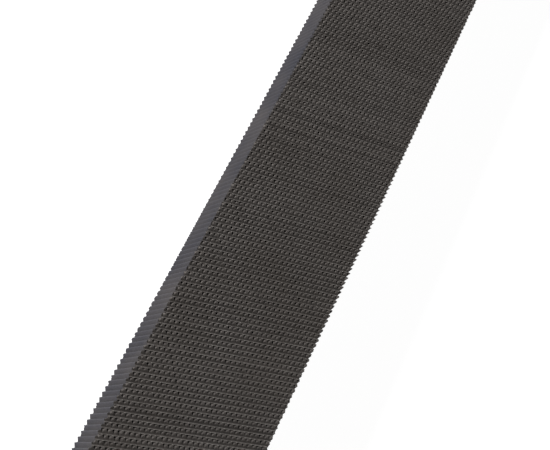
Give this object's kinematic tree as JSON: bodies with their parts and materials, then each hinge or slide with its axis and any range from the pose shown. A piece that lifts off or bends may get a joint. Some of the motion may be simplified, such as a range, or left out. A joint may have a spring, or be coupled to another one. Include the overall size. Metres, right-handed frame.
{
  "type": "flat file",
  "caption": "Flat hand file with double-cut faces and single-cut edges, its tang in a turned wooden handle with a steel ferrule.",
  "frame": {"origin": "middle of the whole tool's box, on the axis of the blade and handle", "axes": "+X along the tool towards the blade's point, +Y across the blade's width, +Z out of a working face"},
  "size_m": [0.387, 0.033, 0.033],
  "materials": {
    "file_steel": "hardened tool steel with a dull grey-brown temper, teeth bright at the tips",
    "handle_wood": "turned hardwood under a thin satin lacquer",
    "ferrule_steel": "plain steel tube, brushed, with light wear"
  },
  "bodies": {
    "file": {"file_blade": "file_steel"},
    "handle": {"wood_handle": "handle_wood", "ferrule": "ferrule_steel"}
  },
  "joints": [
    {"name": "handle_slide", "type": "slide", "parent": "file", "child": "handle", "axis": [-1, 0, 0], "range_m": [0, 0.065]}
  ]
}
